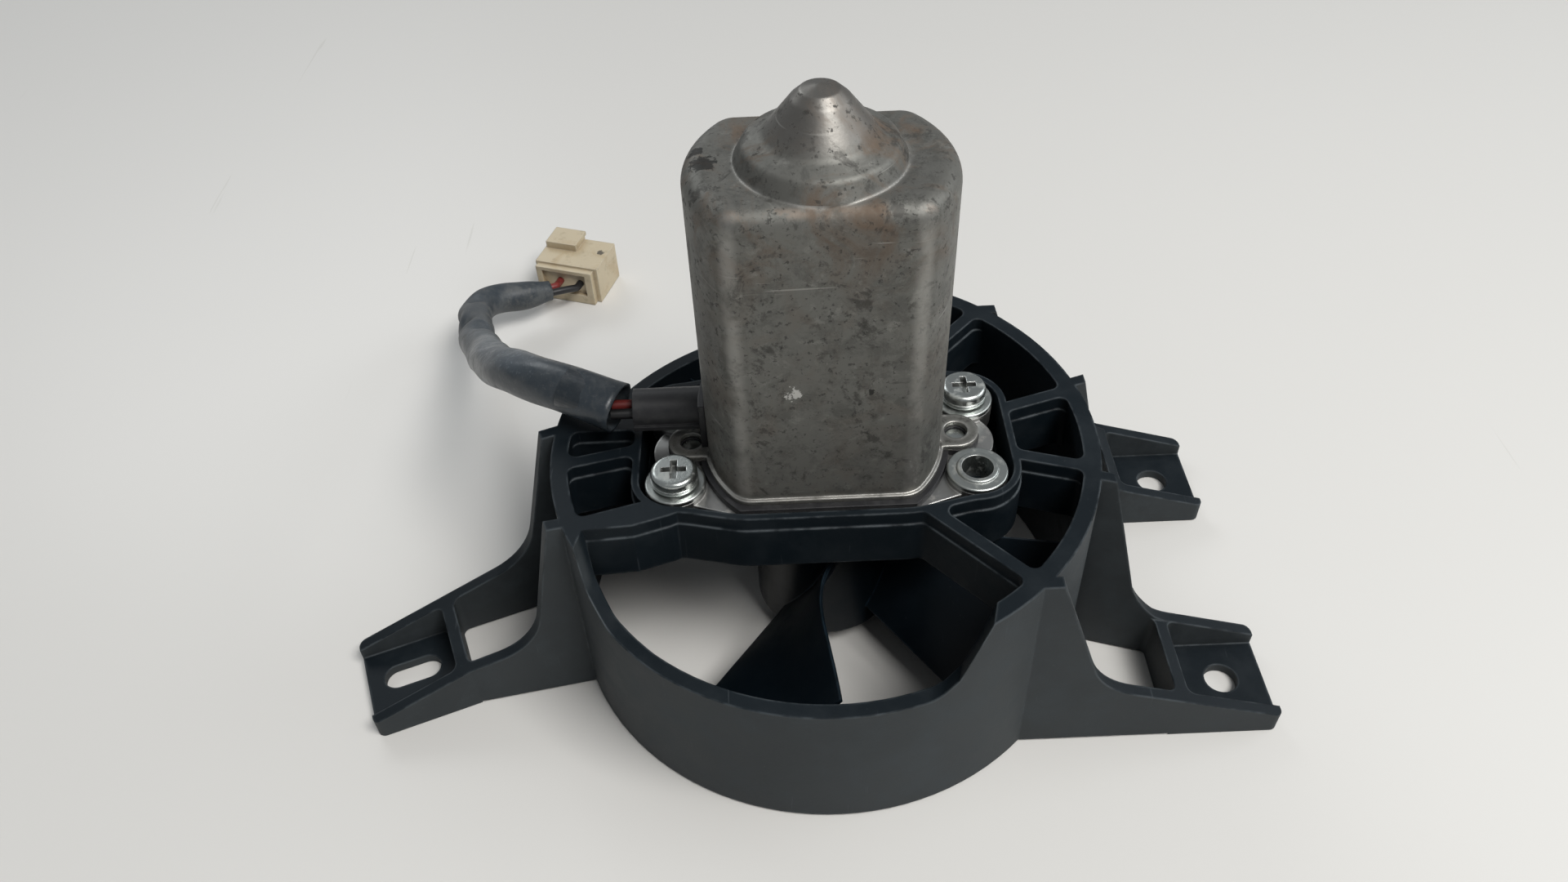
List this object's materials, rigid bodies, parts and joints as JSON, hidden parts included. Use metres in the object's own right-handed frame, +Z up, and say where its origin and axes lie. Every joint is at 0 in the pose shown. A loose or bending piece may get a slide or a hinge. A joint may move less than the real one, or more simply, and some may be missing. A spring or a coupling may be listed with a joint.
{
  "type": "radiator fan",
  "caption": "Axial cooling fan in a moulded round shroud on bolt-down feet, with a tall electric motor on top and a short sleeved lead with a connector.",
  "frame": {"origin": "on the floor under the fan's axis, in the plane of the foot pads' undersides", "axes": "+Z up along the fan's axis towards the motor, +X towards the two feet with round holes"},
  "size_m": [0.2312, 0.2242, 0.1512],
  "materials": {
    "shroud_plastic": "moulded charcoal nylon, worn",
    "fan_plastic": "moulded black nylon",
    "cast_zinc": "bright zinc plate on a casting",
    "can_steel": "dull plated steel, stained",
    "plated_steel": "bright zinc-plated steel",
    "gasket_rubber": "black sheet",
    "bronze": "sintered bronze",
    "shaft_steel": "ground steel",
    "core_iron": "laminated steel",
    "magnet": "ferrite",
    "copper": "enamelled wire",
    "carbon": "pressed carbon",
    "card": "phenolic sheet",
    "grommet_rubber": "black moulded rubber",
    "sleeve_pvc": "dusty blue-grey tube",
    "red_insulation": "red insulation",
    "black_insulation": "black insulation",
    "connector_nylon": "natural nylon, yellowed",
    "tin": "tin-plated strip"
  },
  "bodies": {
    "housing": {"shroud": "shroud_plastic", "motor_plate": "cast_zinc", "lug_bush_1": "plated_steel", "lug_bush_2": "plated_steel", "lug_bush_3": "plated_steel", "lug_bush_4": "plated_steel", "screw_washer_1": "plated_steel", "mounting_screw_1": "plated_steel", "screw_washer_2": "plated_steel", "mounting_screw_2": "plated_steel", "can_screw_1": "plated_steel", "can_screw_2": "plated_steel", "base_gasket": "gasket_rubber", "motor_can": "can_steel", "front_bearing": "bronze", "rear_bearing": "bronze", "bearing_clip": "plated_steel", "field_magnet_1": "magnet", "field_magnet_2": "magnet", "brush_card": "card", "brush_1": "carbon", "brush_holder_1": "bronze", "brush_spring_1": "plated_steel", "brush_2": "carbon", "brush_holder_2": "bronze", "brush_spring_2": "plated_steel", "cable_grommet": "grommet_rubber", "black_wire": "black_insulation", "red_wire": "red_insulation", "cable_sleeve": "sleeve_pvc", "red_tail": "red_insulation", "black_tail": "black_insulation", "connector_terminal_1": "tin", "connector_terminal_2": "tin", "connector_housing": "connector_nylon"},
    "rotor": {"shaft": "shaft_steel", "thrust_washer_1": "card", "thrust_washer_2": "card", "armature_core": "core_iron", "armature_windings": "copper", "commutator": "copper", "fan_impeller": "fan_plastic", "fan_washer": "plated_steel", "fan_nut": "plated_steel"}
  },
  "joints": [
    {"name": "fan_spin", "type": "hinge", "parent": "housing", "child": "rotor", "pos_m": [0, 0, 0.05], "axis": [0, 0, 1], "continuous": true}
  ]
}
